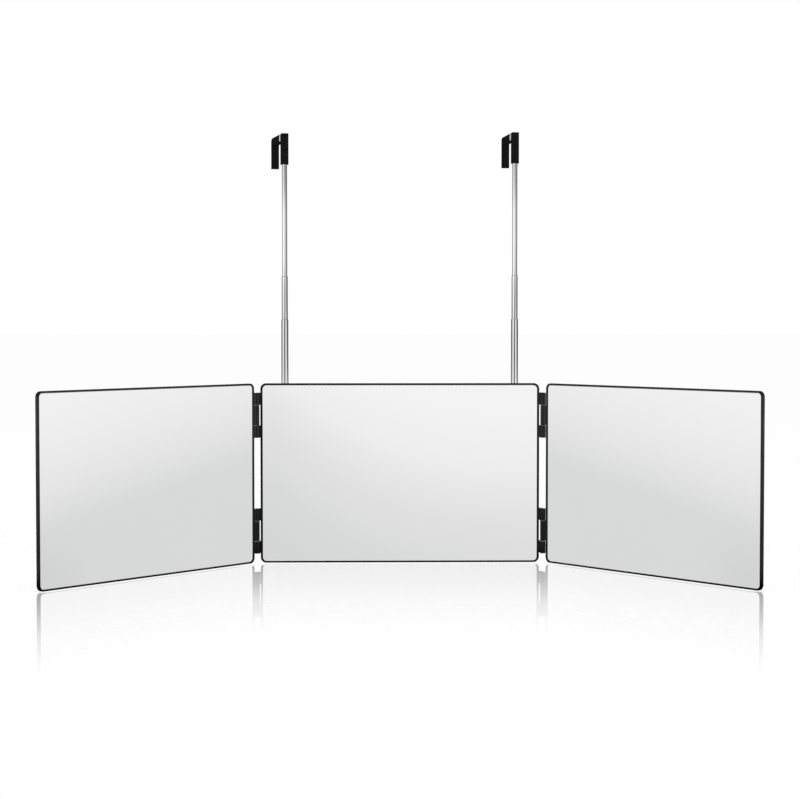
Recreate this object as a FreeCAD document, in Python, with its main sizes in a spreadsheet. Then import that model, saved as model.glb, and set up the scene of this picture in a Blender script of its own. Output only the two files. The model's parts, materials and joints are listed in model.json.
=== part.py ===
import FreeCAD, Part

import functools
import os
import re
import sys

import Sketcher

# Trifold mirror that hangs over a door on two telescopic rods.
# Millimetres, +Z up, the mirrors face -Y. The origin is the middle of the centre panel's bottom edge.
# Every panel is modelled in its own frame: X across it, Y from its front to its back, Z up from its
# bottom edge. The side panels are then turned about their hinge axes.

DOC = FreeCAD.newDocument("trifold_mirror")
SHEET = DOC.addObject("Spreadsheet::Sheet", "Sizes")
WORKINGS = DOC.addObject("Spreadsheet::Sheet", "Workings")

SIZES = (
    # panels
    ("panel_width", 310.4),
    ("panel_height", 200.0),
    ("side_band", 3.4),            # flat depth of a frame's side, in front of its rear bevel
    ("outer_corner", 6.2),
    ("lip_width", 2.3),            # along a panel's sides
    ("end_lip_width", 1.9),        # along its top and bottom
    ("lip_height", 1.1),           # how far the lip stands proud of the glass
    ("lip_round", 0.6),
    ("glass_thickness", 1.6),
    ("glass_corner", 4.4),
    ("glass_gap", 0.2),
    ("glass_bevel", 0.25),
    ("tape_thickness", 0.3),
    ("tape_margin", 6.0),
    ("floor_thickness", 1.4),      # frame wall between the tape and the rear cover
    ("cover_thickness", 1.3),
    ("cover_gap", 0.2),
    ("cover_corner", 3.0),
    ("rim_width", 4.5),            # frame edge left outside the rear cover
    ("cover_screw_side", 50.0),    # cover screws, in from the panel's sides
    ("cover_screw_end", 12.0),     # cover screws, in from its top and bottom
    # screws
    ("screw_radius", 1.0),
    ("screw_head_radius", 2.0),
    ("screw_length", 2.5),
    ("saddle_screw_length", 4.1),
    ("screw_sink", 0.1),
    ("screw_gap", 0.15),
    ("thread_gap", 0.02),
    ("recess_width", 0.5),         # arms of the cross recess
    ("recess_depth", 0.5),
    # hinges
    ("hinge_height", 50.0),
    ("hinge_inset", 35.5),         # hinge middle from the panel's top or bottom
    ("knuckle_radius", 2.8),       # the moving leaf's middle knuckle
    ("end_knuckle_radius", 3.2),   # the fixed leaf's knuckles above and below it
    ("middle_knuckle", 22.4),
    ("knuckle_gap", 0.3),
    ("arm_thickness", 1.6),
    ("leaf_depth", 14.0),          # how far a leaf reaches in from the panel's edge
    ("leaf_screw_inset", 9.5),
    ("leaf_screw_spread", 16.0),
    ("pin_radius", 1.0),
    ("pin_gap", 0.05),             # running clearance in the middle knuckle
    ("seat_gap", 0.02),            # clearance where a piece is pushed in and stays
    ("pin_recess", 0.6),
    ("pin_round", 0.3),
    ("left_slot", 1.0),            # centre frame to left knuckles
    ("right_slot", 1.0),
    ("left_hinge_reach", 3.7),     # hinge axis to the left panel's edge
    ("right_hinge_reach", 1.1),
    ("shut_gap", 0.4),             # between centre and left panels when shut
    ("stack_gap", 0.3),            # between the left panel's back and the right panel when shut
    ("left_fold", 49.3),
    ("right_fold", 51.4),
    # rods
    ("rod_spacing", 256.3),
    ("upper_section_diameter", 5.7),
    ("tube_wall", 0.27),
    ("tube_space", 0.26),          # radial space between one tube and the next
    ("tube_drop", 4.0),            # outer tube's top below the panel's top
    ("tube_stand_off", 0.3),
    ("rim_depth", 2.0),
    ("rim_gap", 0.06),
    ("rim_round", 0.4),
    ("closed_step", 5.0),          # how far each closed section stands out of the one round it
    ("stop_room", 9.0),            # outer tube's lower end to the closed lower section
    ("lower_reach", 70.8),         # lower section above the panel's top
    ("middle_reach", 48.0),        # middle section above the lower one
    ("upper_reach", 123.9),        # hook sleeve above the middle section
    ("right_lower_rise", 0.8),     # how much higher the right rod's sections are pulled out
    ("right_middle_rise", 1.1),
    ("right_upper_rise", 1.6),
    ("friction_length", 8.0),
    ("friction_gap", 0.04),
    ("friction_slit", 1.0),
    ("bead_radius", 3.15),
    ("bead_height", 1.0),
    ("bead_drop", 2.4),
    ("plug_flange", 2.0),
    ("plug_length", 6.0),
    # saddles
    ("saddle_height", 16.0),
    ("saddle_wall", 1.6),
    ("saddle_flange", 6.8),
    ("saddle_floor", 2.0),
    ("saddle_gap", 0.05),
    ("saddle_inset", 10.0),        # saddle from the panel's top or bottom
    ("saddle_round", 0.8),
    # hooks
    ("hook_depth", 66.0),          # middle of one leg to middle of the other
    ("hook_drop", 34.5),
    ("rear_leg_extra", 0.2),
    ("core_size", 7.0),
    ("core_bend", 4.4),
    ("core_round", 0.4),
    ("core_end", 1.0),             # sleeve past the core's lower ends
    ("sleeve_wall", 0.55),
    ("sleeve_gap", 0.03),
    ("sleeve_round", 0.9),
    ("sleeve_crook", 1.5),         # inside radius of the rear sleeve's bend
    ("bare_length", 11.0),         # uncovered stretch of the bridge
    ("rod_seat_gap", 0.3),
    ("left_swivel", 11.4),
    ("right_swivel", 5.2),
    ("swivel_pin_radius", 2.0),
    ("swivel_pin_length", 16.0),
    ("swivel_plug_length", 10.0),
    ("swivel_gap", 0.05),
    ("groove_depth", 0.6),
    ("groove_height", 2.4),
    ("groove_rise", 10.0),
    ("grub_radius", 1.0),
    ("grub_gap", 0.12),            # grub screw's tip to the groove's floor
    ("socket_radius", 0.5),
    ("socket_depth", 0.6),
)

FORMULAS = (
    ("panel_thickness", "lip_height + glass_thickness + tape_thickness + floor_thickness"
                        " + cover_thickness"),
    ("half_width", "panel_width / 2"),
    ("front_y", "-side_band / 2"),
    ("rear_bevel", "panel_thickness - side_band"),
    ("seat_depth", "lip_height + glass_thickness + tape_thickness"),
    ("floor_back", "seat_depth + floor_thickness"),
    ("head_height", "screw_head_radius - screw_radius"),
    ("left_axis", "left_slot + knuckle_radius"),
    ("right_axis", "right_slot + knuckle_radius"),
    ("left_forward", "shut_gap / 2"),
    ("right_forward", "(shut_gap + panel_thickness + stack_gap) / 2"),
    ("left_x", "-half_width - left_axis - (half_width + left_hinge_reach) * cos(left_fold)"
               " - left_forward * sin(left_fold)"),
    ("left_y", "front_y - left_forward - (half_width + left_hinge_reach) * sin(left_fold)"
               " + left_forward * cos(left_fold)"),
    ("right_x", "half_width + right_axis + (half_width + right_hinge_reach) * cos(right_fold)"
                " + right_forward * sin(right_fold)"),
    ("right_y", "front_y - right_forward - (half_width + right_hinge_reach) * sin(right_fold)"
                " + right_forward * cos(right_fold)"),
    ("lower_hinge", "hinge_inset"),
    ("upper_hinge", "panel_height - hinge_inset"),
    ("tube_step", "tube_wall + tube_space"),
    ("upper_section_radius", "upper_section_diameter / 2"),
    ("middle_section_radius", "upper_section_radius + tube_step"),
    ("lower_section_radius", "middle_section_radius + tube_step"),
    ("tube_radius", "lower_section_radius + tube_step"),
    ("rod_x", "rod_spacing / 2"),
    ("rod_y", "panel_thickness + tube_stand_off + tube_radius"),
    ("tube_top", "panel_height - tube_drop"),
    ("tube_low", "saddle_inset + saddle_floor + plug_flange"),
    ("tube_length", "tube_top - tube_low"),
    ("section_length", "tube_length + closed_step - stop_room"),
    ("lower_top", "panel_height + lower_reach"),
    ("middle_top", "lower_top + middle_reach"),
    ("sleeve_low", "middle_top + upper_reach"),
    ("core_low", "sleeve_low + core_end"),
    ("upper_top", "core_low - rod_seat_gap"),
    ("sleeve_top", "sleeve_low + hook_drop"),
    ("core_top", "sleeve_top - sleeve_wall"),
    ("core_half", "core_size / 2"),
    ("sleeve_half", "core_half + sleeve_wall"),
    ("bore_half", "core_half + sleeve_gap"),
    ("saddle_radius", "tube_radius + saddle_wall"),
    ("saddle_half", "saddle_radius + saddle_flange"),
    ("lower_saddle", "saddle_inset"),
    ("upper_saddle", "panel_height - saddle_inset - saddle_height"),
    ("saddle_screw_x", "saddle_radius + saddle_flange / 2"),
    ("groove_low", "core_low + groove_rise"),
)

NAMES = {name for name, _ in SIZES + FORMULAS}

# Where each frame of pieces stands: X, Y, Z and the turn about Z.
PLACES = {
    "centre": ("0", "front_y", "0", "0"),
    "left": ("left_x", "left_y", "0", "left_fold"),
    "right": ("right_x", "right_y", "0", "-right_fold"),
    "left_tube": ("-rod_x", "front_y + rod_y", "0", "0"),
    "left_lower": ("-rod_x", "front_y + rod_y", "0", "0"),
    "left_middle": ("-rod_x", "front_y + rod_y", "0", "0"),
    "left_upper": ("-rod_x", "front_y + rod_y", "0", "0"),
    "left_hook": ("-rod_x", "front_y + rod_y", "0", "left_swivel"),
    "right_tube": ("rod_x", "front_y + rod_y", "0", "0"),
    "right_lower": ("rod_x", "front_y + rod_y", "right_lower_rise", "0"),
    "right_middle": ("rod_x", "front_y + rod_y", "right_middle_rise", "0"),
    "right_upper": ("rod_x", "front_y + rod_y", "right_upper_rise", "0"),
    "right_hook": ("rod_x", "front_y + rod_y", "right_upper_rise", "right_swivel"),
}

UP = FreeCAD.Vector(0, 0, 1)
BACKWARD = FreeCAD.Rotation(FreeCAD.Vector(1, 0, 0), -90)
OVERCUT = "1"
PIECES = []


# ---- the sheet and the bindings to it

def fill_sheet():
    """Write every size and formula into the sheet, each with its alias."""
    for row, (name, content) in enumerate(SIZES + FORMULAS, start=1):
        text = "=" + content if isinstance(content, str) else str(content)
        SHEET.set(f"A{row}", name)
        SHEET.set(f"B{row}", text)
        SHEET.setAlias(f"B{row}", name)
    DOC.recompute()


def linked(text):
    """The formula with each size turned into a reference to the sheet."""
    return re.sub(
        r"[a-z_]+",
        lambda word: "Sizes." + word.group() if word.group() in NAMES else word.group(),
        text,
    )


@functools.cache
def number(text):
    """The present value of a formula of sizes."""
    WORKINGS.set("A1", "=" + linked(text))
    WORKINGS.recompute()
    return float(WORKINGS.get("A1"))


def bind(thing, bindings):
    for path, text in bindings.items():
        thing.setExpression(path, linked(text))
    return thing


def finish(thing, label, place):
    """Name a piece, stand it in its place and note it for writing."""
    x, y, z, turn = PLACES[place]
    thing.Label = label
    thing.Placement = FreeCAD.Placement(FreeCAD.Vector(), FreeCAD.Rotation(UP, 1))
    bind(thing, {
        "Placement.Base.x": x,
        "Placement.Base.y": y,
        "Placement.Base.z": z,
        "Placement.Rotation.Angle": turn,
    })
    PIECES.append(thing)
    return thing


# ---- primitives and booleans

def box(x, y, z):
    """A block between pairs of formulas along X, Y and Z."""
    block = DOC.addObject("Part::Box", "block")
    return bind(block, {
        "Length": f"({x[1]}) - ({x[0]})",
        "Width": f"({y[1]}) - ({y[0]})",
        "Height": f"({z[1]}) - ({z[0]})",
        "Placement.Base.x": x[0],
        "Placement.Base.y": y[0],
        "Placement.Base.z": z[0],
    })


def stand(thing, x, y, z, turn=None):
    if turn:
        thing.Placement = FreeCAD.Placement(FreeCAD.Vector(), turn)
    return bind(thing, {
        "Placement.Base.x": x,
        "Placement.Base.y": y,
        "Placement.Base.z": z,
    })


def cylinder(radius, length, x="0", y="0", z="0", turn=None):
    round_bar = DOC.addObject("Part::Cylinder", "round_bar")
    bind(round_bar, {"Radius": radius, "Height": length})
    return stand(round_bar, x, y, z, turn)


def cone(start_radius, end_radius, length, x="0", y="0", z="0", turn=None):
    taper = DOC.addObject("Part::Cone", "taper")
    bind(taper, {"Radius1": start_radius, "Radius2": end_radius, "Height": length})
    return stand(taper, x, y, z, turn)


def fuse(*shapes):
    union = DOC.addObject("Part::MultiFuse", "union")
    union.Shapes = list(shapes)
    union.Refine = True
    return union


def cut(base, *tools):
    trimmed = DOC.addObject("Part::Cut", "trimmed")
    trimmed.Base = base
    trimmed.Tool = tools[0] if len(tools) == 1 else fuse(*tools)
    return trimmed


def fillet(base, radius, wanted):
    """Round the edges of base for which wanted(edge) is true."""
    DOC.recompute()
    size = number(radius)
    edges = [n for n, edge in enumerate(base.Shape.Edges, start=1) if wanted(edge)]
    rounded = DOC.addObject("Part::Fillet", "rounded")
    rounded.Base = base
    rounded.Edges = [(n, size, size) for n in edges]
    return rounded


def along(edge, axis):
    """Whether an edge is straight and runs along X, Y or Z."""
    if not isinstance(edge.Curve, Part.Line):
        return False
    return abs(getattr(edge.Curve.Direction, axis)) > 0.999


def level(edge, axis, height):
    """Whether all of an edge lies at one place along X, Y or Z."""
    bounds = edge.BoundBox
    low = getattr(bounds, axis.upper() + "Min")
    high = getattr(bounds, axis.upper() + "Max")
    return abs(low - height) < 1e-3 and abs(high - height) < 1e-3


# ---- bodies padded from sketches across a panel

def new_sketch(body, y):
    """A sketch across the panel, at a depth behind its front."""
    plane = next(item for item in body.Origin.OriginFeatures if item.Role == "XZ_Plane")
    sketch = body.newObject("Sketcher::SketchObject", "outline")
    sketch.AttachmentSupport = [(plane, "")]
    sketch.MapMode = "FlatFace"
    return bind(sketch, {"AttachmentOffset.Base.z": f"-({y})"})


def constrain(sketch, kind, *places, size=None):
    """Add one constraint; a size, given as a formula, is bound to the sheet."""
    if size is None:
        sketch.addConstraint(Sketcher.Constraint(kind, *places))
        return
    index = sketch.addConstraint(Sketcher.Constraint(kind, *places, number(size)))
    sketch.setExpression(f"Constraints[{index}]", linked(size))


def draw_rectangle(sketch, x, z, corner=None):
    """A rectangle between pairs of formulas, with round corners if corner is given."""
    left, right, low, high = (number(text) for text in (*x, *z))
    radius = number(corner) if corner else 0.0
    first = sketch.GeometryCount
    ends = (
        ((left + radius, low), (right - radius, low)),
        ((right, low + radius), (right, high - radius)),
        ((right - radius, high), (left + radius, high)),
        ((left, high - radius), (left, low + radius)),
    )
    for start, end in ends:
        sketch.addGeometry(Part.LineSegment(FreeCAD.Vector(*start, 0), FreeCAD.Vector(*end, 0)))
    bottom, right_side, top, left_side = range(first, first + 4)
    sides = (bottom, right_side, top, left_side)
    if corner:
        middles = (
            (right - radius, low + radius, -90),
            (right - radius, high - radius, 0),
            (left + radius, high - radius, 90),
            (left + radius, low + radius, 180),
        )
        for index, (middle_x, middle_z, angle) in enumerate(middles):
            circle = Part.Circle(FreeCAD.Vector(middle_x, middle_z, 0), UP, radius)
            turn = FreeCAD.Units.Quantity(f"{angle} deg").getValueAs("rad").Value
            quarter = FreeCAD.Units.Quantity("90 deg").getValueAs("rad").Value
            arc = sketch.addGeometry(Part.ArcOfCircle(circle, turn, turn + quarter))
            constrain(sketch, "Tangent", sides[index], 2, arc, 1)
            constrain(sketch, "Tangent", arc, 2, sides[(index + 1) % 4], 1)
            if index == 0:
                constrain(sketch, "Radius", arc, size=corner)
            else:
                constrain(sketch, "Equal", arc - 1, arc)
    else:
        for index in range(4):
            constrain(sketch, "Coincident", sides[index], 2, sides[(index + 1) % 4], 1)
    constrain(sketch, "Horizontal", bottom)
    constrain(sketch, "Horizontal", top)
    constrain(sketch, "Vertical", right_side)
    constrain(sketch, "Vertical", left_side)
    constrain(sketch, "DistanceX", -1, 1, left_side, 1, size=x[0])
    constrain(sketch, "DistanceX", -1, 1, right_side, 1, size=x[1])
    constrain(sketch, "DistanceY", -1, 1, bottom, 1, size=z[0])
    constrain(sketch, "DistanceY", -1, 1, top, 1, size=z[1])


def draw_circles(sketch, centres, radius):
    for x, z in centres:
        middle = FreeCAD.Vector(number(x), number(z), 0)
        index = sketch.addGeometry(Part.Circle(middle, UP, number(radius)))
        constrain(sketch, "Radius", index, size=radius)
        constrain(sketch, "DistanceX", -1, 1, index, 3, size=x)
        constrain(sketch, "DistanceY", -1, 1, index, 3, size=z)


def pad(body, sketch, depth):
    """Thicken a sketch towards the panel's back."""
    solid = body.newObject("PartDesign::Pad", "pad")
    solid.Profile = sketch
    solid.Reversed = True
    bind(solid, {"Length": depth})
    DOC.recompute()
    return solid


def pocket(body, sketch, depth=None):
    """Cut a sketch towards the panel's back, to a depth or right through."""
    DOC.recompute()
    volume = body.Shape.Volume
    hollow = body.newObject("PartDesign::Pocket", "pocket")
    hollow.Profile = sketch
    if depth:
        bind(hollow, {"Length": depth})
    else:
        hollow.Type = "ThroughAll"
    DOC.recompute()
    if not body.Shape.Volume < volume:
        sys.exit("a pocket cuts nothing")
    return hollow


def dress(body, kind, size_name, size, wanted):
    """A PartDesign Fillet or Chamfer on the tip's edges for which wanted(edge) is true."""
    tip = body.Tip
    edges = [f"Edge{n}" for n, edge in enumerate(tip.Shape.Edges, start=1) if wanted(edge)]
    dressing = body.newObject(kind, "dressing")
    dressing.Base = (tip, edges)
    bind(dressing, {size_name: size})
    DOC.recompute()
    return dressing


def new_body(name):
    return DOC.addObject("PartDesign::Body", name)


# ---- screws, shared by the panels and the saddles

def screw_pattern(length):
    """A countersunk screw that points forward, its head's face at y = 0."""
    shank = cylinder("screw_radius", f"{length} - head_height", y=f"-({length})", turn=BACKWARD)
    head = cone("screw_radius", "screw_head_radius", "head_height", y="-head_height", turn=BACKWARD)
    reach = "(screw_head_radius + screw_radius) / 2"
    arms = [
        box((f"-({a})", a), ("-recess_depth", OVERCUT), (f"-({b})", b))
        for a, b in ((reach, "recess_width / 2"), ("recess_width / 2", reach))
    ]
    return cut(fuse(shank, head), *arms)


def screw_group(pattern, places, label, place):
    """Copies of a screw at places (x, y, z) in one node."""
    group = DOC.addObject("Part::Compound", "screws")
    copies = []
    for x, y, z in places:
        copy = DOC.addObject("App::Link", "screw")
        copy.LinkedObject = pattern
        copies.append(stand(copy, x, y, z))
    group.Links = copies
    return finish(group, label, place)


# ---- places of the screws and hinges on a panel

def cover_screws():
    side = "half_width - cover_screw_side"
    ends = ("cover_screw_end", "panel_height - cover_screw_end")
    return [(x, z) for z in ends for x in (f"-({side})", "0", side)]


def leaf_screws(edge):
    """Leaf screws near the panel's edge on side +1 or -1."""
    x = f"{edge} * (half_width - leaf_screw_inset)"
    return [
        (x, f"{hinge} {sign} leaf_screw_spread")
        for hinge in ("lower_hinge", "upper_hinge")
        for sign in "-+"
    ]


def saddle_screws(saddle, side):
    """The two screws of a saddle, on the rod at side +1 or -1."""
    middle = f"{side} * rod_x"
    height = f"{saddle} + saddle_height / 2"
    return [(f"{middle} - saddle_screw_x", height), (f"{middle} + saddle_screw_x", height)]


def outward(edge, near, far):
    """A pair along X, near and far being distances out past the panel's edge."""
    if edge > 0:
        return (f"half_width + {near}", f"half_width + {far}")
    return (f"-half_width - ({far})", f"-half_width - ({near})")


def hinge_band(hinge, spare):
    return (
        f"{hinge} - hinge_height / 2 - {spare}",
        f"{hinge} + hinge_height / 2 + {spare}",
    )


# ---- panels

def make_frame(name, place, edges, extra_screws):
    """Moulded tray: glass seat in front, cover seat behind, notches for the hinge leaves."""
    body = new_body("frame")
    width = ("-half_width", "half_width")
    outline = new_sketch(body, "0")
    draw_rectangle(outline, width, ("0", "panel_height"), "outer_corner")
    pad(body, outline, "panel_thickness")
    back = number("panel_thickness")
    dress(body, "PartDesign::Chamfer", "Size", "rear_bevel", lambda edge: level(edge, "y", back))
    dress(body, "PartDesign::Fillet", "Radius", "lip_round", lambda edge: level(edge, "y", 0.0))
    glass_seat = new_sketch(body, "0")
    draw_rectangle(
        glass_seat,
        ("-half_width + lip_width", "half_width - lip_width"),
        ("end_lip_width", "panel_height - end_lip_width"),
        "glass_corner",
    )
    pocket(body, glass_seat, "seat_depth")
    cover_seat = new_sketch(body, "floor_back")
    draw_rectangle(
        cover_seat,
        ("-half_width + rim_width", "half_width - rim_width"),
        ("rim_width", "panel_height - rim_width"),
        "cover_corner",
    )
    pocket(body, cover_seat)
    notches = new_sketch(body, "floor_back")
    for edge in edges:
        for hinge in ("lower_hinge", "upper_hinge"):
            span = outward(edge, "-leaf_depth - cover_gap", OVERCUT)
            draw_rectangle(notches, span, hinge_band(hinge, "cover_gap"))
    pocket(body, notches)
    threads = new_sketch(body, "seat_depth")
    holes = cover_screws() + extra_screws
    for edge in edges:
        holes = holes + leaf_screws(edge)
    draw_circles(threads, holes, "screw_radius + thread_gap")
    pocket(body, threads)
    return finish(body, f"{name}_frame", place)


def make_mirror(name, place):
    body = new_body("mirror")
    outline = new_sketch(body, "lip_height")
    draw_rectangle(
        outline,
        ("-half_width + lip_width + glass_gap", "half_width - lip_width - glass_gap"),
        ("end_lip_width + glass_gap", "panel_height - end_lip_width - glass_gap"),
        "glass_corner - glass_gap",
    )
    pad(body, outline, "glass_thickness")
    front = number("lip_height")
    dress(body, "PartDesign::Chamfer", "Size", "glass_bevel", lambda edge: level(edge, "y", front))
    return finish(body, f"{name}_mirror", place)


def make_tape(name, place):
    """Foam tape sheet between the glass and the frame."""
    body = new_body("tape")
    outline = new_sketch(body, "lip_height + glass_thickness")
    inset, end_inset = "lip_width + tape_margin", "end_lip_width + tape_margin"
    draw_rectangle(
        outline,
        (f"-half_width + {inset}", f"half_width - ({inset})"),
        (end_inset, f"panel_height - ({end_inset})"),
    )
    pad(body, outline, "tape_thickness")
    return finish(body, f"{name}_foam_tape", place)


def make_cover(name, place, edges, extra_screws):
    """Flush rear cover, notched round the hinge leaves."""
    body = new_body("cover")
    outline = new_sketch(body, "floor_back")
    inset = "rim_width + cover_gap"
    draw_rectangle(
        outline,
        (f"-half_width + {inset}", f"half_width - ({inset})"),
        (inset, f"panel_height - ({inset})"),
        "cover_corner - cover_gap",
    )
    pad(body, outline, "cover_thickness")
    notches = new_sketch(body, "floor_back")
    for edge in edges:
        for hinge in ("lower_hinge", "upper_hinge"):
            span = outward(edge, "-leaf_depth - cover_gap", OVERCUT)
            draw_rectangle(notches, span, hinge_band(hinge, "cover_gap"))
    if edges:
        pocket(body, notches)
    holes = new_sketch(body, "floor_back")
    draw_circles(holes, cover_screws(), "screw_radius + screw_gap")
    pocket(body, holes)
    back = number("panel_thickness")
    dress(
        body, "PartDesign::Chamfer", "Size", "head_height",
        lambda edge: level(edge, "y", back) and isinstance(edge.Curve, Part.Circle)
        and edge.Closed,
    )
    if extra_screws:
        plain_holes = new_sketch(body, "floor_back")
        draw_circles(plain_holes, extra_screws, "screw_radius + screw_gap")
        pocket(body, plain_holes)
    return finish(body, f"{name}_rear_cover", place)


# ---- hinges

def make_leaf(label, place, edge, reach, forward, hinge, middle):
    """A flush leaf with its knuckles: the middle one, or else the two at its ends."""
    axis_x = f"{edge} * (half_width + {reach})"
    low, high = hinge_band(hinge, "0")
    if middle:
        radius, bore_radius = "knuckle_radius", "pin_radius + pin_gap"
        bands = [(f"{hinge} - middle_knuckle / 2", f"{hinge} + middle_knuckle / 2")]
    else:
        radius, bore_radius = "end_knuckle_radius", "pin_radius + seat_gap"
        half = "(middle_knuckle / 2 + knuckle_gap)"
        bands = [(low, f"{hinge} - {half}"), (f"{hinge} + {half}", high)]
    metal = [box(outward(edge, "-leaf_depth", "0"), ("floor_back", "panel_thickness"), (low, high))]
    for start, end in bands:
        metal.append(box(
            outward(edge, "0", f"{reach} + arm_thickness / 2"),
            ("floor_back", "panel_thickness"),
            (start, end),
        ))
        metal.append(box(
            (f"{axis_x} - arm_thickness / 2", f"{axis_x} + arm_thickness / 2"),
            (f"-{forward}", "panel_thickness"),
            (start, end),
        ))
        metal.append(cylinder(radius, f"{end} - ({start})", axis_x, f"-{forward}", start))
    holes = [cylinder(bore_radius, f"hinge_height + 2 * {OVERCUT}", axis_x, f"-{forward}",
                      f"{low} - {OVERCUT}")]
    for x, z in leaf_screws(edge):
        if hinge in z:
            holes.append(cylinder("screw_radius + screw_gap", f"panel_thickness + {OVERCUT}",
                                  x, "0", z, BACKWARD))
            holes.append(cone("screw_radius + screw_gap",
                              "screw_head_radius + screw_gap", "head_height",
                              x, "panel_thickness - head_height", z, BACKWARD))
    return finish(cut(fuse(*metal), *holes), label, place)


def make_hinge_pin(label, edge, reach, forward, hinge):
    """Steel pin held in the fixed knuckles."""
    pin = cylinder(
        "pin_radius", "hinge_height - 2 * pin_recess",
        f"{edge} * (half_width + {reach})", f"-{forward}",
        f"{hinge} - hinge_height / 2 + pin_recess",
    )
    rounded = fillet(pin, "pin_round", lambda edge: isinstance(edge.Curve, Part.Circle))
    return finish(rounded, label, "centre")


# ---- telescopic rods

def tube(radius, top, length, rim_bore, extra=()):
    """A thin tube whose top is rolled in to a smaller bore."""
    low = f"{top} - ({length})"
    outside = cylinder(radius, length, z=low)
    rim_height = number(top)
    wall = fillet(outside, "rim_round", lambda edge: level(edge, "z", rim_height))
    if extra:
        wall = fuse(wall, *extra)
    bore = cylinder(f"{radius} - tube_wall", f"{length} - rim_depth", z=low)
    mouth = cylinder(rim_bore, f"{length} + {OVERCUT}", z=low)
    return cut(wall, bore, mouth)


def friction_sleeve(radius, low):
    """Split spring sleeve on a section's lower end; it drags in the tube round it."""
    outside = cylinder(f"{radius} + tube_space - friction_gap", "friction_length", z=low)
    inside = cylinder(f"{radius} + seat_gap", "friction_length", z=low)
    slit = box(
        ("-friction_slit / 2", "friction_slit / 2"),
        ("0", f"{radius} + tube_space + {OVERCUT}"),
        (low, f"{low} + friction_length"),
    )
    return cut(outside, inside, slit)


def make_rod(side):
    """The outer tube, its plug and the three sliding sections of one rod."""
    outer = tube("tube_radius", "tube_top", "tube_length", "lower_section_radius + rim_gap")
    finish(outer, f"{side}_outer_tube", f"{side}_tube")
    plug = fuse(
        cylinder("tube_radius", "plug_flange", z="tube_low - plug_flange"),
        cylinder("tube_radius - tube_wall - seat_gap", "plug_length", z="tube_low"),
    )
    finish(plug, f"{side}_tube_plug", f"{side}_tube")
    sections = (
        ("lower", "lower_top", "middle_section_radius + rim_gap"),
        ("middle", "middle_top", "upper_section_radius + rim_gap"),
        ("upper", "upper_top", "upper_section_radius - tube_wall"),
    )
    for level_name, top, rim_bore in sections:
        place, radius = f"{side}_{level_name}", f"{level_name}_section_radius"
        extra = []
        if level_name == "upper":
            extra = [cylinder("bead_radius", "bead_height", z="sleeve_low - bead_drop")]
        section = tube(radius, top, "section_length", rim_bore, extra)
        finish(section, f"{place}_section", place)
        sleeve = friction_sleeve(radius, f"{top} - section_length")
        finish(sleeve, f"{place}_friction_sleeve", place)


def make_saddle(label, place, low, with_floor):
    """Clamp that holds the outer tube against the rear cover."""
    high = f"{low} + saddle_height"
    flange = box(
        ("-saddle_half", "saddle_half"),
        ("panel_thickness - rod_y", "panel_thickness - rod_y + saddle_wall"),
        (low, high),
    )
    flange = fillet(flange, "saddle_round", lambda edge: along(edge, "y"))
    hump = box(("-saddle_radius", "saddle_radius"), ("panel_thickness - rod_y", "0"), (low, high))
    crown = cylinder("saddle_radius", "saddle_height", z=low)
    start = f"{low} + saddle_floor" if with_floor else f"{low} - {OVERCUT}"
    channel = cylinder("tube_radius + saddle_gap", f"{high} + {OVERCUT} - ({start})", z=start)
    slot = box(
        ("-tube_radius - saddle_gap", "tube_radius + saddle_gap"),
        (f"panel_thickness - rod_y - {OVERCUT}", "0"),
        (start, f"{high} + {OVERCUT}"),
    )
    behind = box(
        (f"-saddle_radius - {OVERCUT}", f"saddle_radius + {OVERCUT}"),
        (f"-saddle_radius - {OVERCUT}", "panel_thickness - rod_y"),
        (f"{low} - {OVERCUT}", f"{high} + {OVERCUT}"),
    )
    holes = []
    for side in "-+":
        x = f"0 {side} saddle_screw_x"
        z = f"{low} + saddle_height / 2"
        holes.append(cylinder("screw_radius + screw_gap", f"saddle_wall + 2 * {OVERCUT}", x,
                              f"panel_thickness - rod_y - {OVERCUT}", z, BACKWARD))
        holes.append(cone("screw_radius + screw_gap", "screw_head_radius + screw_gap",
                          "head_height", x,
                          "panel_thickness - rod_y + saddle_wall - head_height", z, BACKWARD))
    saddle = cut(fuse(flange, hump, crown), behind, channel, slot, *holes)
    return finish(saddle, label, place)


# ---- hooks

def make_core(side):
    """Square bar bent over a door: front leg, bridge and rear leg."""
    across = ("-core_half", "core_half")
    rear = ("hook_depth - core_half", "hook_depth + core_half")
    bridge = box(across, ("-core_half", rear[1]), ("core_top - core_size", "core_top"))
    bar = fuse(
        box(across, across, ("core_low", "core_top")),
        fillet(bridge, "core_round", lambda edge: along(edge, "y")),
        box(across, rear, ("core_low - rear_leg_extra", "core_top")),
    )
    top, front, back = number("core_top"), number("-core_half"), number(rear[1])
    bent = fillet(bar, "core_bend", lambda edge: along(edge, "x") and level(edge, "z", top)
                  and (level(edge, "y", front) or level(edge, "y", back)))
    pin_hole = cylinder("swivel_pin_radius + swivel_gap",
                        f"swivel_pin_length + swivel_gap + {OVERCUT}",
                        z=f"core_low - {OVERCUT}")
    grub_hole = cylinder("grub_radius + thread_gap", f"core_half + {OVERCUT}",
                         z="groove_low + groove_height / 2", turn=BACKWARD)
    return finish(cut(bent, pin_hole, grub_hole), f"{side}_hook_core", f"{side}_hook")


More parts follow.
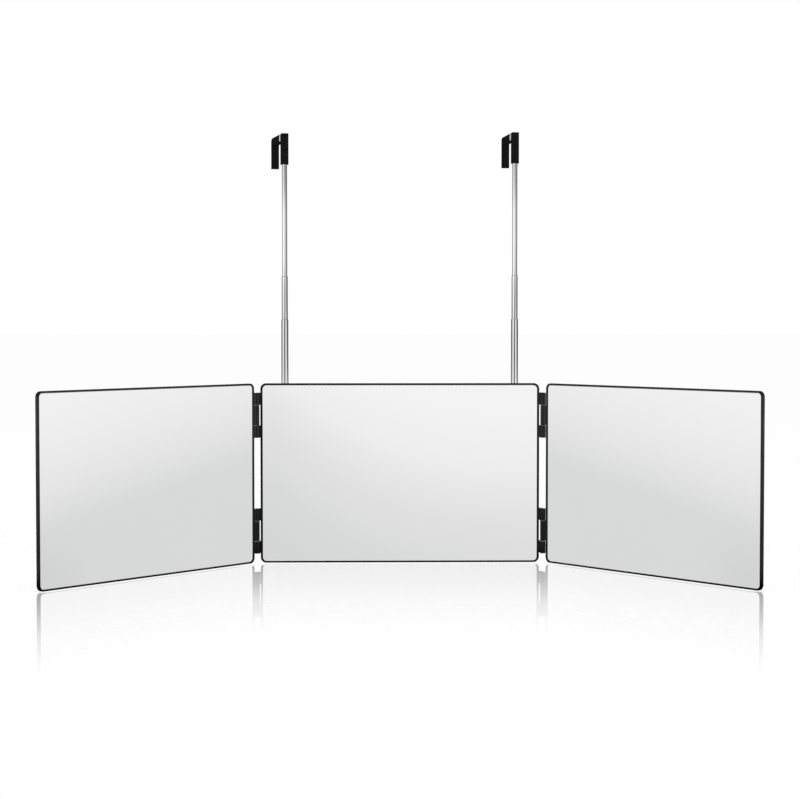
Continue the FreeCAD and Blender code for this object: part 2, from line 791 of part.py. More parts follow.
def make_front_sleeve(side):
    """Rubber cap over the core's front leg, open at its foot and where the bridge leaves it."""
    across = ("-sleeve_half", "sleeve_half")
    block = box(across, across, ("sleeve_low", "sleeve_top"))
    foot = number("sleeve_low")
    rounded = fillet(block, "sleeve_round", lambda edge: not level(edge, "z", foot))
    bore = ("-bore_half", "bore_half")
    hollow = box(bore, bore, (f"sleeve_low - {OVERCUT}", "core_top + sleeve_gap"))
    window = box(bore, ("0", f"sleeve_half + {OVERCUT}"),
                 ("core_top - core_size - sleeve_gap", "core_top + sleeve_gap"))
    return finish(cut(rounded, hollow, window), f"{side}_front_sleeve", f"{side}_hook")


def make_rear_sleeve(side):
    """Rubber sleeve over the rear of the bridge and the rear leg, closed at its foot."""
    across = ("-sleeve_half", "sleeve_half")
    start = "sleeve_half + bare_length"
    end = "hook_depth + sleeve_half"
    foot = "core_low - rear_leg_extra"
    skin = fuse(
        box(across, (start, end), ("sleeve_top - 2 * sleeve_half", "sleeve_top")),
        box(across, ("hook_depth - sleeve_half", end),
            ("sleeve_low - rear_leg_extra", "sleeve_top")),
    )
    top, back, side_face = number("sleeve_top"), number(end), number("sleeve_half")
    bent = fillet(skin, "core_bend + sleeve_wall", lambda edge: along(edge, "x")
                  and level(edge, "z", top) and level(edge, "y", back))
    under, inner = number("sleeve_top - 2 * sleeve_half"), number("hook_depth - sleeve_half")
    crooked = fillet(bent, "sleeve_crook", lambda edge: along(edge, "x")
                     and level(edge, "z", under) and level(edge, "y", inner))
    mouth, low = number(start), number("sleeve_low - rear_leg_extra")
    rounded = fillet(crooked, "sleeve_round", lambda edge: (
        level(edge, "x", side_face) or level(edge, "x", -side_face))
        and not level(edge, "y", mouth) and not level(edge, "z", low))
    bore = ("-bore_half", "bore_half")
    channel = fuse(
        box(bore, (f"{start} - {OVERCUT}", "hook_depth + bore_half"),
            ("core_top - core_size - sleeve_gap", "core_top + sleeve_gap")),
        box(bore, ("hook_depth - bore_half", "hook_depth + bore_half"),
            (f"{foot} - sleeve_gap", "core_top + sleeve_gap")),
    )
    return finish(cut(rounded, channel), f"{side}_rear_sleeve", f"{side}_hook")


def make_hook(side):
    """The hook's core and sleeves, its swivel pin and the grub screw that traps the pin."""
    make_core(side)
    make_front_sleeve(side)
    make_rear_sleeve(side)
    pin = fuse(
        cylinder("upper_section_radius - tube_wall - seat_gap", "swivel_plug_length",
                 z="upper_top - swivel_plug_length"),
        cylinder("upper_section_radius", "rod_seat_gap / 2", z="upper_top"),
        cylinder("swivel_pin_radius", "swivel_pin_length + core_low - upper_top", z="upper_top"),
    )
    groove = cut(
        cylinder(f"swivel_pin_radius + {OVERCUT}", "groove_height", z="groove_low"),
        cylinder("swivel_pin_radius - groove_depth", "groove_height", z="groove_low"),
    )
    finish(cut(pin, groove), f"{side}_swivel_pin", f"{side}_upper")
    tip = "swivel_pin_radius - groove_depth + grub_gap"
    grub = cylinder("grub_radius", f"core_half - ({tip})", "0", tip,
                    "groove_low + groove_height / 2", BACKWARD)
    socket = cylinder("socket_radius", f"socket_depth + {OVERCUT}", "0",
                      "core_half - socket_depth", "groove_low + groove_height / 2", BACKWARD)
    finish(cut(grub, socket), f"{side}_grub_screw", f"{side}_hook")


# ---- the whole object

def make_panels():
    short_screw = screw_pattern("screw_length")
    long_screw = screw_pattern("saddle_screw_length")
    saddle_holes = [
        spot
        for saddle in ("lower_saddle", "upper_saddle")
        for side in (-1, 1)
        for spot in saddle_screws(saddle, side)
    ]
    panels = (
        ("centre", (-1, 1), saddle_holes),
        ("left", (1,), []),
        ("right", (-1,), []),
    )
    for name, edges, extra in panels:
        make_frame(name, name, edges, extra)
        make_mirror(name, name)
        make_tape(name, name)
        make_cover(name, name, edges, extra)
        spots = cover_screws()
        for edge in edges:
            spots = spots + leaf_screws(edge)
        face = "panel_thickness - screw_sink"
        screw_group(short_screw, [(x, face, z) for x, z in spots], f"{name}_panel_screws", name)
    face = "panel_thickness + saddle_wall - screw_sink"
    screw_group(long_screw, [(x, face, z) for x, z in saddle_holes], "saddle_screws", "centre")


def make_hinges():
    for side, edge in (("left", -1), ("right", 1)):
        for height in ("lower", "upper"):
            hinge = f"{height}_hinge"
            name = f"{side}_{height}_hinge"
            axis, forward = f"{side}_axis", f"{side}_forward"
            make_leaf(f"{name}_fixed_leaf", "centre", edge, axis, forward, hinge, False)
            make_leaf(f"{name}_moving_leaf", side, -edge, f"{side}_hinge_reach", forward, hinge,
                      True)
            make_hinge_pin(f"{name}_pin", edge, axis, forward, hinge)


def make_rods_and_hooks():
    for side in ("left", "right"):
        make_rod(side)
        make_saddle(f"{side}_lower_saddle", f"{side}_tube", "lower_saddle", True)
        make_saddle(f"{side}_upper_saddle", f"{side}_tube", "upper_saddle", False)
        make_hook(side)


def check_and_write():
    """Stop on any failed object or bad shape, then write one file for each piece."""
    DOC.recompute()
    for thing in DOC.Objects:
        if "Invalid" in thing.State or "Error" in thing.State:
            sys.exit(f"{thing.Label} failed: {thing.State}")
    for thing in PIECES:
        if thing.Shape.isNull() or not thing.Shape.isValid() or not thing.Shape.Solids:
            sys.exit(f"{thing.Label} has no valid shape")
    os.makedirs("parts", exist_ok=True)
    for thing in PIECES:
        thing.Shape.exportStep(f"parts/{thing.Label}.step")
        print(thing.Label, len(thing.Shape.Solids), round(thing.Shape.Volume, 1))


fill_sheet()
make_panels()
make_hinges()
make_rods_and_hooks()
check_and_write()
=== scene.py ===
import json
from math import cos, pi, radians, sin

import bmesh
import bpy
from mathutils import Euler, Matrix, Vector


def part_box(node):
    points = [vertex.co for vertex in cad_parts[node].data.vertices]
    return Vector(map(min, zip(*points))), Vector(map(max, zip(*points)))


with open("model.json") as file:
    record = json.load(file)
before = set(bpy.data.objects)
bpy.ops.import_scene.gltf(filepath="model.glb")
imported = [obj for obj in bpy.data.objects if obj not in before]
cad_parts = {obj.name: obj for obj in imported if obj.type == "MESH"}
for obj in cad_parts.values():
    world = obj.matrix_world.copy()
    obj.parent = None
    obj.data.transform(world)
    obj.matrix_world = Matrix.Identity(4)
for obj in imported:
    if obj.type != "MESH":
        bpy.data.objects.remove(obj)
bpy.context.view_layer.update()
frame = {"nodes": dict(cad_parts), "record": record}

# Everything is in metres, in the part's own frame: mirrors face -Y, +Z is up, the floor is Z = 0.

# ---- the camera's place

CAMERA_DISTANCE = 2.2425      # to the centre panel's front
CAMERA_HEIGHT = 0.2738
CAMERA_PITCH = radians(2.346)
CAMERA_YAW = radians(1.14)
FOCAL_SHARE = 2018 / 800      # focal length over image width
SENSOR_WIDTH = 36.0           # millimetres, the camera's own unit

# ---- shared node helpers


class Shader:
    """One node tree, with short calls that add a node and join it up."""

    def __init__(self, owner):
        owner.use_nodes = True
        self.tree = owner.node_tree
        self.tree.nodes.clear()

    def add(self, kind, settings=None, **sockets):
        node = self.tree.nodes.new(kind)
        for name, value in (settings or {}).items():
            setattr(node, name, value)
        for name, value in sockets.items():
            self.plug(node.inputs[name.replace("_", " ")], value)
        return node

    def plug(self, socket, value):
        """Join a socket to another node's output, or set it to a number or colour."""
        if isinstance(value, bpy.types.Node):
            value = value.outputs[0]
        if isinstance(value, bpy.types.NodeSocket):
            self.tree.links.new(value, socket)
        elif isinstance(value, tuple) and len(value) == 3 and socket.type == "RGBA":
            socket.default_value = (*value, 1.0)
        else:
            socket.default_value = value

    def math(self, operation, *values):
        node = self.tree.nodes.new("ShaderNodeMath")
        node.operation = operation
        for socket, value in zip(node.inputs, values):
            self.plug(socket, value)
        return node.outputs[0]

    def remap(self, value, old, new, smooth=True):
        """A value carried from one range to another, and held at its ends."""
        node = self.add("ShaderNodeMapRange",
                        {"interpolation_type": "SMOOTHSTEP" if smooth else "LINEAR"})
        self.plug(node.inputs["Value"], value)
        for name, number in zip(("From Min", "From Max", "To Min", "To Max"), (*old, *new)):
            node.inputs[name].default_value = number
        return node.outputs["Result"]

    def ramp(self, value, stops, run="EASE"):
        """A tone that runs smoothly through (place, level) or (place, colour) stops."""
        node = self.add("ShaderNodeValToRGB")
        node.color_ramp.interpolation = run
        elements = node.color_ramp.elements
        while len(elements) < len(stops):
            elements.new(0.5)
        for element, (place, level) in zip(elements, stops):
            element.position = place
            colour = level if isinstance(level, tuple) else (level,) * 3
            element.color = (*colour, 1.0)
        self.plug(node.inputs["Fac"], value)
        return node.outputs["Color"]

    def mix(self, share, first, second):
        """First and second shaders, with the second's share."""
        node = self.tree.nodes.new("ShaderNodeMixShader")
        self.plug(node.inputs[0], share)
        self.plug(node.inputs[1], first)
        self.plug(node.inputs[2], second)
        return node.outputs[0]

    def blend(self, share, first, second):
        """Two colours mixed."""
        node = self.add("ShaderNodeMix", {"data_type": "RGBA"})
        self.plug(node.inputs["Factor"], share)
        self.plug(node.inputs["A"], first)
        self.plug(node.inputs["B"], second)
        return node.outputs["Result"]

    def place(self, stretch=(1, 1, 1)):
        """Object coordinates, squeezed or drawn out along each axis."""
        here = self.add("ShaderNodeTexCoord").outputs["Object"]
        mapping = self.add("ShaderNodeMapping", Vector=here)
        mapping.inputs["Scale"].default_value = stretch
        return mapping.outputs["Vector"]

    def noise(self, scale, detail=3.0, stretch=(1, 1, 1)):
        node = self.add("ShaderNodeTexNoise", Vector=self.place(stretch), Scale=scale, Detail=detail)
        return node.outputs["Fac"]

    def bump(self, height, distance, strength=1.0):
        return self.add("ShaderNodeBump", Height=height, Distance=distance, Strength=strength)

    def finish(self, surface, kind="ShaderNodeOutputMaterial"):
        output = self.tree.nodes.new(kind)
        self.plug(output.inputs["Surface"], surface)


def new_material(name):
    material = bpy.data.materials.new(name)
    return material, Shader(material)


# ---- finishes

def black_plastic(name, tone, grain_size, grain_depth, roughness, index):
    """Satin black moulded plastic with a fine texture."""
    material, shader = new_material(name)
    mottle = shader.noise(60, 4)
    grain = shader.noise(1 / grain_size, 2)
    colour = shader.blend(mottle, (tone, tone, 1.1 * tone), (2 * tone, 2 * tone, 2.2 * tone))
    sheen = shader.remap(mottle, (0.3, 0.7), (roughness - 0.04, roughness + 0.05))
    body = shader.add("ShaderNodeBsdfPrincipled", Base_Color=colour, Roughness=sheen,
                      Normal=shader.bump(grain, grain_depth))
    body.inputs["IOR"].default_value = index
    shader.finish(body)
    return material


def silvered_glass():
    """Flat clear mirror, with the faintest cloudiness and no blur at all."""
    material, shader = new_material("silvered_glass")
    haze = shader.noise(9, 5)
    colour = shader.blend(haze, (0.89, 0.891, 0.891), (0.9, 0.9, 0.9))
    body = shader.add("ShaderNodeBsdfPrincipled", Base_Color=colour)
    body.inputs["Metallic"].default_value = 1.0
    body.inputs["Roughness"].default_value = 0.0
    shader.finish(body)
    return material


def bright_metal(name, tone, roughness, stretch, metallic=1.0):
    """Plated metal with fine drawing lines along it; a satin plate is less metallic."""
    material, shader = new_material(name)
    lines = shader.noise(900, 3, stretch)
    dark = tuple(0.94 * level for level in tone)
    colour = shader.blend(lines, dark, tone)
    polish = shader.remap(lines, (0.3, 0.7), (roughness * 0.7, roughness * 1.3))
    body = shader.add("ShaderNodeBsdfPrincipled", Base_Color=colour, Roughness=polish,
                      Normal=shader.bump(lines, 0.000004))
    body.inputs["Metallic"].default_value = metallic
    shader.finish(body)
    return material


def dark_coating():
    """Glossy black enamel on the hinges, a little uneven."""
    material, shader = new_material("black_enamel")
    ripple = shader.noise(700, 2)
    patches = shader.noise(120, 3)
    colour = shader.blend(patches, (0.002, 0.002, 0.0022), (0.004, 0.004, 0.0044))
    roughness = shader.remap(patches, (0.3, 0.7), (0.09, 0.14))
    body = shader.add("ShaderNodeBsdfPrincipled", Base_Color=colour, Roughness=roughness,
                      Normal=shader.bump(ripple, 0.00001))
    body.inputs["IOR"].default_value = 1.45
    shader.finish(body)
    return material


def black_rubber():
    """Soft matt foam rubber with a fine skin and a little dust, and no shine even at a slant."""
    material, shader = new_material("black_rubber")
    skin = shader.noise(2600, 2)
    dust = shader.noise(180, 5)
    colour = shader.blend(dust, (0.0062, 0.0062, 0.0066), (0.0115, 0.0115, 0.012))
    roughness = shader.remap(dust, (0.3, 0.7), (0.64, 0.76))
    body = shader.add("ShaderNodeBsdfPrincipled", Base_Color=colour, Roughness=roughness,
                      Normal=shader.bump(skin, 0.00002))
    body.inputs["Specular IOR Level"].default_value = 0.0
    shader.finish(body)
    return material


def pale_material(name, tone, cell_size, depth, roughness):
    """Off-white foam or plastic with small cells."""
    material, shader = new_material(name)
    cells = shader.noise(1 / cell_size, 3)
    dark = tuple(0.85 * level for level in tone)
    colour = shader.blend(cells, dark, tone)
    body = shader.add("ShaderNodeBsdfPrincipled", Base_Color=colour, Normal=shader.bump(cells, depth))
    body.inputs["Roughness"].default_value = roughness
    shader.finish(body)
    return material


FINISHES = {
    "frame_plastic": black_plastic("frame_plastic", 0.0028, 0.0006, 0.000004, 0.15, 1.42),
    "cover_plastic": black_plastic("cover_plastic", 0.011, 0.0011, 0.00006, 0.5, 1.45),
    "saddle_plastic": black_plastic("saddle_plastic", 0.009, 0.0008, 0.00003, 0.38, 1.45),
    "mirror_glass": silvered_glass(),
    "hinge_metal": dark_coating(),
    "chrome_tube": bright_metal("chrome_tube", (0.8, 0.81, 0.82), 0.06, (1, 1, 0.01)),
    "hook_metal": bright_metal("hook_metal", (0.72, 0.73, 0.74), 0.4, (1, 0.02, 1), 0.38),
    "steel": bright_metal("zinc_plated_steel", (0.5, 0.5, 0.51), 0.34, (1, 1, 1), 0.6),
    "hook_rubber": black_rubber(),
    "foam_tape": pale_material("foam_tape", (0.75, 0.75, 0.72), 0.0005, 0.0001, 0.9),
    "sliding_plastic": pale_material("sliding_plastic", (0.85, 0.85, 0.82), 0.002, 0.00001, 0.35),
}


def dress_nodes():
    """Give every CAD node the finish of its slot."""
    for entry in frame["record"]["subparts"]:
        node = frame["nodes"][entry["node"]]
        node.data.materials.clear()
        node.data.materials.append(FINISHES[entry["material_slot"]])
        node.visible_glossy = False


dress_nodes()


# ---- studio

BACKGROUND = (1.0, 1.0, 1.0)
FILL = (0.82, 0.82, 0.82)       # the even light for all but reflections
BLACK = (0.0, 0.0, 0.0)

# Tones of the floor as the mirrors show it, by how steeply a reflected ray falls.
TONE_SPAN = (0.03, 0.17)
SHADE = (0.98, 1.0, 0.994)      # the slight green of the glass in its darker tones


def tinted(level):
    return tuple(level * share for share in SHADE)


CENTRE_TONES = ((0.02, 1.02), (0.13, 0.998), (0.22, 0.975), (0.31, 0.955), (0.38, 0.912), (0.466, 0.862),
                (0.536, 0.832), (0.624, 0.812), (0.712, tinted(0.787)), (0.8, tinted(0.772)),
                (0.87, tinted(0.765)), (0.94, tinted(0.748)))
CENTRE_SPAN = (-0.042, 0.085)   # the ray's sideways share, from the mirror's left side to its right
CENTRE_CURVE = 2.4
CENTRE_SLOPE = 0.0467           # how much earlier the left side darkens
SIDE_TONES = ((0.02, 0.998), (0.073, 0.985), (0.15, 0.964), (0.221, 0.94), (0.291, 0.918), (0.361, 0.885),
              (0.431, 0.842), (0.501, tinted(0.79)), (0.56, tinted(0.777)), (0.8, tinted(0.777)))
SIDE_SLOPE = 0.3375             # how much earlier the hinge side darkens
RIGHT_DEPTH = 0.0355            # how much further back the right mirror's rays run than the left one's
CORNER_DARK = 0.06              # the side mirrors' lower corners, at their outer ends
CORNER_DROP = (0.1, 0.13)
CORNER_SPAN = (-0.005, 0.024)
SIDEWAYS = (0.3, 0.6)           # from the centre mirror's rays to the side ones'

# Wide soft panels that the mirrors see from other sides, and where they begin below and above.
PANELS_ROUND = 8.0
PANEL_SLOPE = 3.0
PANEL_TONES = ((0.0, 1.0), (0.45, 0.93), (1.0, 0.76))
PANELS_BELOW = (0.16, 0.24)
PANELS_ABOVE = (-0.034, 0.0)

# Levels round the studio, from the back by the left, the front at a half, and the right. Each
# section of the rods sees its own band of them.
LOW_STRIPES = ((0.0, 0.04), (0.16, 0.08), (0.25, 0.4), (0.33, 0.85), (0.4, 0.95), (0.45, 0.45),
               (0.475, 0.03), (0.515, 0.03), (0.55, 0.6), (0.595, 1.1), (0.65, 0.85), (0.7, 0.45),
               (0.75, 0.08), (1.0, 0.04))
MIDDLE_STRIPES = ((0.0, 0.05), (0.15, 0.12), (0.29, 0.68), (0.37, 1.3), (0.41, 1.1), (0.475, 0.27),
                  (0.515, 0.27), (0.585, 0.68), (0.69, 0.34), (0.8, 0.15), (1.0, 0.05))
HIGH_STRIPES = ((0.0, 0.05), (0.15, 0.2), (0.3, 1.2), (0.38, 1.3), (0.46, 1.05), (0.565, 0.8),
                (0.69, 0.42), (0.85, 0.15), (1.0, 0.05))
TOP_STRIPES = ((0.0, 0.08), (0.15, 0.2), (0.29, 0.6), (0.36, 1.05), (0.41, 0.9), (0.48, 0.42),
               (0.6, 0.33), (0.74, 0.22), (1.0, 0.08))
UPPER_BANDS = ((MIDDLE_STRIPES, (-0.002, 0.001)),   # each with the heights over which it comes in
               (HIGH_STRIPES, (0.019, 0.022)),
               (TOP_STRIPES, (0.05, 0.07)))

# Below them is what the panels' rims and the hinges see, which darkens towards the floor.
RIM_STRIPES = ((0.0, 0.04), (0.16, 0.1), (0.225, 0.3), (0.245, 1.6), (0.26, 1.4), (0.33, 1.1), (0.4, 1.15),
               (0.45, 0.4), (0.472, 0.0), (0.495, 0.0), (0.516, 1.2), (0.53, 0.5), (0.595, 1.3),
               (0.65, 1.0), (0.7, 0.9), (0.74, 1.5), (0.753, 1.6), (0.772, 0.3), (0.85, 0.1), (1.0, 0.04))
RIM_START = (0.031, 0.035)
RIM_SPAN = (0.03, 0.13)
RIM_FADE = ((0.0, 1.0), (0.07, 1.0), (0.25, 0.82), (0.4, 0.64), (0.62, 0.37), (0.82, 0.2), (1.0, 0.14))

# And lower still, what the tubes see from above.
STEEP_STRIPES = ((0.0, 0.5), (0.03, 1.0), (0.08, 0.95), (0.11, 0.3), (0.17, 0.2), (0.21, 0.8), (0.29, 1.0),
                 (0.32, 0.4), (0.37, 0.3), (0.4, 1.0), (0.47, 0.95), (0.5, 0.45), (0.55, 0.85), (0.62, 1.0),
                 (0.66, 0.3), (0.72, 0.25), (0.76, 0.85), (0.83, 0.9), (0.87, 0.25), (0.93, 0.35),
                 (0.96, 0.9), (1.0, 0.5))
STEEP_START = (0.13, 0.165)

CEILING = (0.88, 0.88, 0.88)
SIDE_CEILING = (0.955, 0.955, 0.955)
CEILING_START = (0.085, 0.115)
OVERHEAD = (0.15, 0.15, 0.15)
OVERHEAD_START = (0.22, 0.3)


def floor_tones(shader, side, depth, drop, sideways):
    """The floor in the mirrors: darker low down, and towards the left or the hinges."""
    leftward = shader.math("POWER", shader.remap(side, CENTRE_SPAN, (1, 0), False), CENTRE_CURVE)
    centre_drop = shader.math("MULTIPLY_ADD", leftward, CENTRE_SLOPE, drop)
    centre = shader.ramp(shader.remap(centre_drop, TONE_SPAN, (0, 1), False), CENTRE_TONES, "B_SPLINE")

    right_depth = shader.remap(side, (-0.01, 0.01), (RIGHT_DEPTH, 0))
    inward = shader.math("SUBTRACT", depth, right_depth)
    side_drop = shader.math("MULTIPLY_ADD", inward, SIDE_SLOPE, drop)
    folded = shader.ramp(shader.remap(side_drop, TONE_SPAN, (0, 1), False), SIDE_TONES, "B_SPLINE")
    corner = shader.math("MULTIPLY", shader.remap(drop, CORNER_DROP, (0, CORNER_DARK)),
                         shader.remap(inward, CORNER_SPAN, (1, 0)))
    return shader.blend(sideways, centre, shader.blend(corner, folded, BLACK))


def mirror_view(shader, side, depth, height, drop, turn, sideways):
    """The floor's tones, and soft panels above and below that shade from corner to corner."""
    slope = shader.math("MULTIPLY", height, PANEL_SLOPE)
    wave = shader.math("PINGPONG", shader.math("MULTIPLY_ADD", turn, PANELS_ROUND, slope), 1.0)
    beyond = shader.math("MAXIMUM", shader.remap(drop, PANELS_BELOW, (0, 1)),
                         shader.remap(height, PANELS_ABOVE, (0, 1)))
    tones = floor_tones(shader, side, depth, drop, sideways)
    return shader.blend(beyond, tones, shader.ramp(wave, PANEL_TONES))


def gloss_view(shader, height, drop, turn):
    """Flags and panels that stripe the tubes, rims and hinges, by their angle round from the front."""
    striped = shader.ramp(turn, LOW_STRIPES)
    for levels, start in UPPER_BANDS:
        striped = shader.blend(shader.remap(height, start, (0, 1)), striped, shader.ramp(turn, levels))
    fade = shader.ramp(shader.remap(drop, RIM_SPAN, (0, 1), False), RIM_FADE, "LINEAR")
    rims = shader.math("MULTIPLY", shader.ramp(turn, RIM_STRIPES), fade)
    striped = shader.blend(shader.remap(drop, RIM_START, (0, 1)), striped, rims)
    return shader.blend(shader.remap(drop, STEEP_START, (0, 1)), striped, shader.ramp(turn, STEEP_STRIPES))


def make_world():
    """White for the camera, a soft studio for reflections, an even light for everything else."""
    world = bpy.data.worlds.new("studio")
    bpy.context.scene.world = world
    shader = Shader(world)
    direction = shader.add("ShaderNodeTexCoord").outputs["Generated"]
    side, depth, height = shader.add("ShaderNodeSeparateXYZ", Vector=direction).outputs
    drop = shader.math("MULTIPLY", height, -1.0)
    angle = shader.math("ARCTAN2", side, shader.math("MULTIPLY", depth, -1.0))
    turn = shader.math("ADD", shader.math("DIVIDE", angle, 2 * pi), 0.5)
    sideways = shader.remap(shader.math("ABSOLUTE", side), SIDEWAYS, (0, 1))

    # Only the mirrors reflect without any blur, so only they see the plain studio.
    path = shader.add("ShaderNodeLightPath").outputs
    reflected = shader.blend(path["Is Singular Ray"], gloss_view(shader, height, drop, turn),
                             mirror_view(shader, side, depth, height, drop, turn, sideways))
    ceiling = shader.blend(sideways, CEILING, SIDE_CEILING)
    reflected = shader.blend(shader.remap(height, CEILING_START, (0, 1)), reflected, ceiling)
    reflected = shader.blend(shader.remap(height, OVERHEAD_START, (0, 1)), reflected, OVERHEAD)

    plain = shader.add("ShaderNodeBackground", Color=FILL, Strength=1.0)
    glossy = shader.add("ShaderNodeBackground", Color=reflected, Strength=1.0)
    white = shader.add("ShaderNodeBackground", Color=BACKGROUND, Strength=1.0)
    lit = shader.mix(path["Is Glossy Ray"], plain, glossy)
    seen = shader.math("MAXIMUM", path["Is Camera Ray"], path["Is Transmission Ray"])
    shader.finish(shader.mix(seen, lit, white), "ShaderNodeOutputWorld")


# ---- floor

FLOOR_REACH = 30.0
FLOOR_SINK = 0.0001             # how far the polished base lies under the white sheet
FLOOR_WHITE = (0.95, 0.95, 0.95)
FLOOR_GLOW = 0.92               # share of the floor's white that its shadows don't reach

FOOT_LEFT = (-0.161, -0.0515)   # sideways slant of the view to the left panel's foot
FOOT_RIGHT = (0.0912, 0.2058)
FOOT_FORWARD = 0.2475           # the side panels' outer ends, in front of the centre
FADE_HEIGHT = 0.085
FADE = ((0.0, 0.6), (0.08, 0.59), (0.25, 0.47), (0.365, 0.36), (0.48, 0.25), (0.6, 0.17), (0.835, 0.045),
        (1.0, 0.0))
OPEN_FADE = 0.7                 # a slower fade for what stands beside or behind the folded panels
BACK_FADE = 1.6                 # and a quicker one for their backs
CONTACT_REACH = (0.0175, 0.03)  # how far from a foot the floor is dull: side panels, centre
CONTACT_SKY = (0.75, 0.96)      # the open share of the sky over which it comes back
SIDES_TO_CENTRE = (-0.02, 0.0)  # the foot's Y over which that reach changes
FRONT_TO_BACK = (-0.001, 0.001)
SLANT_MARGIN = 0.001
CONTACT_SHADE_REACH = (0.04, 0.16)       # painted contact shade: what is glossy but not a mirror sees the floor black this close to it


def make_plane(name, height, material):
    mesh = bpy.data.meshes.new(name)
    shape = bmesh.new()
    bmesh.ops.create_grid(shape, x_segments=1, y_segments=1, size=FLOOR_REACH)
    bmesh.ops.translate(shape, verts=shape.verts, vec=(0, 0, height))
    shape.to_mesh(mesh)
    shape.free()
    plane = bpy.data.objects.new(name, mesh)
    bpy.context.scene.collection.objects.link(plane)
    mesh.materials.append(material)


def reflection_share(shader, here):
    """How much the floor mirrors, which fades with the height of what it shows.

    That height grows with the distance from the panels' foot, which runs forward at both sides
    while they are folded. Right at a foot, wherever it stands, the floor doesn't mirror at all.
    """
    across = shader.math("ADD", here.outputs["X"], CAMERA_DISTANCE * sin(CAMERA_YAW))
    away = shader.math("ADD", here.outputs["Y"], CAMERA_DISTANCE)
    slant = shader.math("DIVIDE", across, away)
    scale = shader.math("DIVIDE", CAMERA_HEIGHT / FADE_HEIGHT, away)
    left_foot = shader.remap(slant, FOOT_LEFT, (-FOOT_FORWARD, 0.0), False)
    right_foot = shader.remap(slant, FOOT_RIGHT, (0.0, -FOOT_FORWARD), False)
    foot = shader.math("ADD", left_foot, right_foot)
    ahead = shader.math("SUBTRACT", foot, here.outputs["Y"])

    folded = shader.ramp(shader.math("MULTIPLY", ahead, scale), FADE, "LINEAR")
    from_centre = shader.math("MULTIPLY", shader.math("ABSOLUTE", here.outputs["Y"]), scale)
    pace = shader.remap(here.outputs["Y"], FRONT_TO_BACK, (OPEN_FADE, BACK_FADE), False)
    level = shader.ramp(shader.math("MULTIPLY", from_centre, pace), FADE, "LINEAR")
    middle = (FOOT_RIGHT[1] + FOOT_LEFT[0]) / 2
    half = (FOOT_RIGHT[1] - FOOT_LEFT[0]) / 2 + SLANT_MARGIN
    between = shader.math("COMPARE", slant, middle, half)
    in_front = shader.math("MULTIPLY", between, shader.math("GREATER_THAN", ahead, 0.0))
    share = shader.blend(in_front, level, folded)

    reach = shader.remap(foot, SIDES_TO_CENTRE, CONTACT_REACH, False)
    open_sky = shader.add("ShaderNodeAmbientOcclusion", {"samples": 8}, Distance=reach).outputs["AO"]
    return shader.math("MULTIPLY", share, shader.remap(open_sky, CONTACT_SKY, (0.0, 1.0), False))


def make_floor():
    """A white sheet that lets part of the view through to a polished base just under it, and shows black to
    blurred reflections close by, as painted contact shade.
    """
    material, shader = new_material("white_floor")
    here = shader.add("ShaderNodeSeparateXYZ", Vector=shader.place())
    path = shader.add("ShaderNodeLightPath").outputs
    glow = shader.add("ShaderNodeEmission", Color=BACKGROUND, Strength=1.0)
    matt = shader.add("ShaderNodeBsdfDiffuse", Color=FLOOR_WHITE)
    white = shader.mix(FLOOR_GLOW, matt, glow)
    clear = shader.add("ShaderNodeBsdfRefraction", IOR=1.0, Roughness=0.0, Color=BACKGROUND)
    polished = shader.mix(reflection_share(shader, here), white, clear)
    lit = shader.mix(path["Is Camera Ray"], matt, polished)
    through = shader.add("ShaderNodeBsdfTransparent", Color=BACKGROUND)
    # Painted contact shade: blurred glossy rays that meet the floor close by see a black sheet in place of
    # the floor's shadow.
    blurred = shader.math("SUBTRACT", 1.0, path["Is Singular Ray"])
    painted_contact_shade = shader.math("MULTIPLY", blurred, shader.remap(path["Ray Length"], CONTACT_SHADE_REACH, (1, 0)))
    dark = shader.add("ShaderNodeEmission", Color=BLACK)
    upper = shader.mix(path["Is Glossy Ray"], lit, shader.mix(painted_contact_shade, through, dark))
    back = shader.add("ShaderNodeNewGeometry").outputs["Backfacing"]
    shader.finish(shader.mix(back, upper, clear))
    make_plane("floor", 0.0, material)


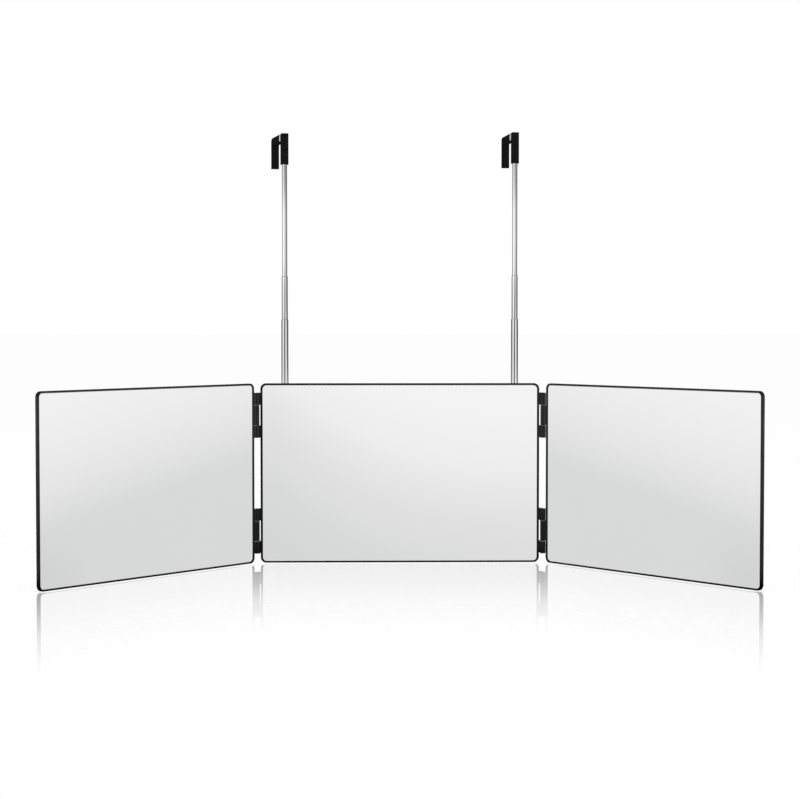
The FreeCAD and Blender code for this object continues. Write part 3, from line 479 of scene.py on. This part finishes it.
def make_floor_base():
    """The polished base, which mirrors only what is seen through the sheet."""
    base, shader = new_material("polished_base")
    polish = shader.add("ShaderNodeBsdfGlossy", Color=BACKGROUND, Roughness=0.02)
    through = shader.add("ShaderNodeBsdfTransparent", Color=BACKGROUND)
    path = shader.add("ShaderNodeLightPath").outputs
    straight = shader.math("SUBTRACT", 1.0, path["Is Transmission Ray"])
    mirrored = shader.math("MULTIPLY", path["Is Glossy Ray"], straight)
    shader.finish(shader.mix(mirrored, polish, through))
    make_plane("floor_base", -FLOOR_SINK, base)


# ---- lamps and camera

# Each lamp's place, what it points at, its width and height, and its power.
LAMPS = {
    "top_softbox": ((0.0, -0.6, 2.0), (0, 0, 0.1), (2.0, 1.2), 8.0),
    "left_softbox": ((-1.6, -1.4, 1.0), (0, 0, 0.2), (1.0, 1.4), 5.0),
    "right_softbox": ((1.6, -1.4, 1.0), (0, 0, 0.2), (1.0, 1.4), 5.0),
}


def make_lamp(name, place, aim, size, power):
    data = bpy.data.lights.new(name, "AREA")
    data.shape = "RECTANGLE"
    data.size, data.size_y = size
    data.energy = power
    lamp = bpy.data.objects.new(name, data)
    bpy.context.scene.collection.objects.link(lamp)
    lamp.location = place
    lamp.rotation_euler = (Vector(aim) - Vector(place)).to_track_quat("-Z", "Y").to_euler()
    lamp.visible_glossy = False


def make_camera():
    data = bpy.data.cameras.new("camera")
    data.sensor_width = SENSOR_WIDTH
    data.lens = SENSOR_WIDTH * FOCAL_SHARE
    camera = bpy.data.objects.new("camera", data)
    bpy.context.scene.collection.objects.link(camera)
    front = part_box("centre_frame")[0].y
    camera.location = (-CAMERA_DISTANCE * sin(CAMERA_YAW),
                       front - CAMERA_DISTANCE * cos(CAMERA_YAW), CAMERA_HEIGHT)
    camera.rotation_euler = Euler((pi / 2 - CAMERA_PITCH, 0.0, -CAMERA_YAW))
    bpy.context.scene.camera = camera


make_world()
make_floor()
make_floor_base()
for lamp_name, settings in LAMPS.items():
    make_lamp(lamp_name, *settings)
make_camera()
bpy.context.scene.view_settings.view_transform = "Standard"
